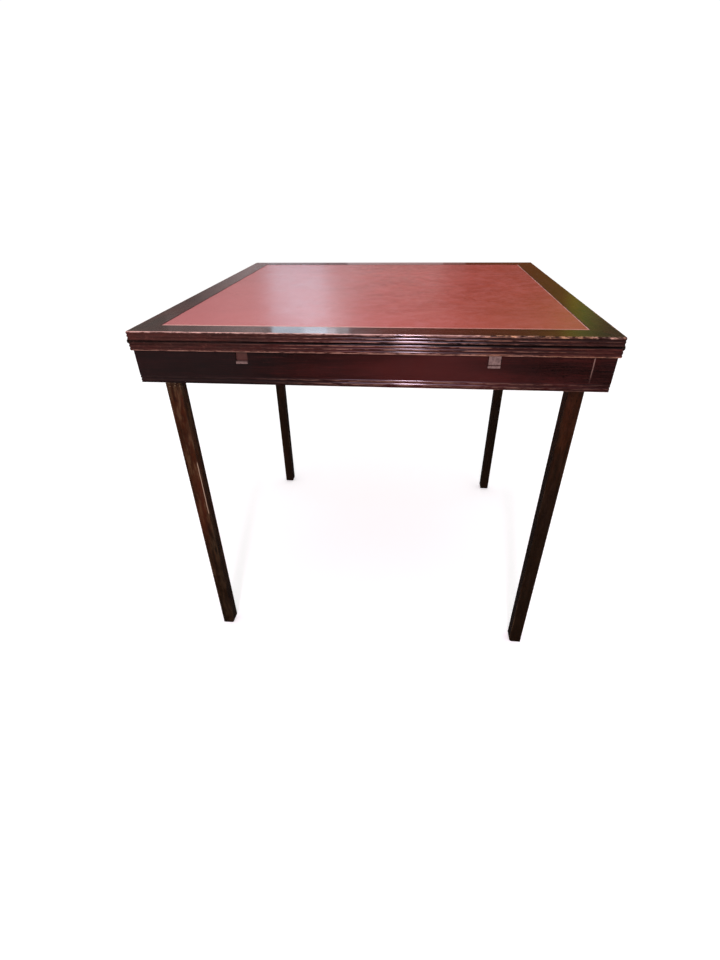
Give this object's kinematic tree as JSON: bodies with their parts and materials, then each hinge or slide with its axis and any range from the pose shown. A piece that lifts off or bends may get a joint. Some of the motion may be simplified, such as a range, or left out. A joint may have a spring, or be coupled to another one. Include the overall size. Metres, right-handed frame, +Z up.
{
  "type": "gaming table",
  "caption": "Square portable gaming table with a leather playing surface, a fold-over top leaf with baize inside, pull-out lopers and legs that fold into the box.",
  "frame": {"origin": "on the floor under the centre of the table, at the middle of the four feet", "axes": "+Z up; -Y towards the front edge, where the upper leaf is hinged and the loper ends show; +X to the right of a person facing that edge"},
  "size_m": [0.762, 0.7651, 0.686],
  "materials": {
    "mahogany": "dark French-polished mahogany, glossy, pale worn arrises",
    "red_leather": "semi-gloss faded red leather, mottled",
    "green_baize": "matt green wool baize",
    "plywood": "stained plywood, satin",
    "beech": "planed beech, unpolished",
    "brass": "aged satin brass",
    "steel": "dull worn steel"
  },
  "bodies": {
    "box": {"back_left_inner_cheek": "beech", "back_left_leg_spring": "steel", "back_left_outer_cheek": "beech", "back_left_stop_block": "beech", "back_rail": "mahogany", "back_right_inner_cheek": "beech", "back_right_leg_spring": "steel", "back_right_outer_cheek": "beech", "back_right_stop_block": "beech", "divider_panel": "plywood", "front_left_inner_cheek": "beech", "front_left_leg_spring": "steel", "front_left_outer_cheek": "beech", "front_left_stop_block": "beech", "front_rail": "mahogany", "front_right_inner_cheek": "beech", "front_right_leg_spring": "steel", "front_right_outer_cheek": "beech", "front_right_stop_block": "beech", "glue_blocks": "beech", "hinge_pins": "brass", "left_loper_inner_guide": "beech", "left_loper_outer_guide": "beech", "left_lower_hinge": "brass", "left_rail": "mahogany", "left_wear_plate": "steel", "lower_back_rail": "mahogany", "lower_baize": "green_baize", "lower_front_rail": "mahogany", "lower_hinge_screws": "brass", "lower_left_rail": "mahogany", "lower_panel": "plywood", "lower_right_rail": "mahogany", "pivot_bolts": "steel", "pivot_washers": "steel", "right_loper_inner_guide": "beech", "right_loper_outer_guide": "beech", "right_lower_hinge": "brass", "right_rail": "mahogany", "right_wear_plate": "steel", "spring_screws": "steel"},
    "upper_leaf": {"leather_top": "red_leather", "left_upper_hinge": "brass", "right_upper_hinge": "brass", "upper_back_rail": "mahogany", "upper_baize": "green_baize", "upper_front_rail": "mahogany", "upper_hinge_screws": "brass", "upper_left_rail": "mahogany", "upper_panel": "plywood", "upper_right_rail": "mahogany"},
    "loper_left": {"left_loper": "mahogany", "left_loper_stop_pin": "steel"},
    "loper_right": {"right_loper": "mahogany", "right_loper_cap": "steel", "right_loper_stop_pin": "steel"},
    "leg_front_left": {"front_left_leg": "mahogany"},
    "leg_front_right": {"front_right_leg": "mahogany"},
    "leg_back_right": {"back_right_leg": "mahogany"},
    "leg_back_left": {"back_left_leg": "mahogany"}
  },
  "joints": [
    {"name": "leaf_hinge", "type": "hinge", "parent": "box", "child": "upper_leaf", "pos_m": [0, -0.3813, 0.671], "axis": [1, 0, 0], "range_deg": [0, 180]},
    {"name": "loper_left_slide", "type": "slide", "parent": "box", "child": "loper_left", "axis": [0, -1, 0], "range_m": [0, 0.3]},
    {"name": "loper_right_slide", "type": "slide", "parent": "box", "child": "loper_right", "axis": [0, -1, 0], "range_m": [0, 0.3]},
    {"name": "leg_front_left_fold", "type": "hinge", "parent": "box", "child": "leg_front_left", "pos_m": [-0.3385, -0.3385, 0.618], "axis": [1, 0, 0], "range_deg": [0, 90], "deforming": ["front_left_leg_spring"]},
    {"name": "leg_front_right_fold", "type": "hinge", "parent": "box", "child": "leg_front_right", "pos_m": [0.3385, -0.3385, 0.618], "axis": [0, 1, 0], "range_deg": [0, 90], "deforming": ["front_right_leg_spring"]},
    {"name": "leg_back_right_fold", "type": "hinge", "parent": "box", "child": "leg_back_right", "pos_m": [0.3385, 0.3385, 0.618], "axis": [-1, 0, 0], "range_deg": [0, 90], "deforming": ["back_right_leg_spring"]},
    {"name": "leg_back_left_fold", "type": "hinge", "parent": "box", "child": "leg_back_left", "pos_m": [-0.3385, 0.3385, 0.618], "axis": [0, -1, 0], "range_deg": [0, 90], "deforming": ["back_left_leg_spring"]}
  ]
}
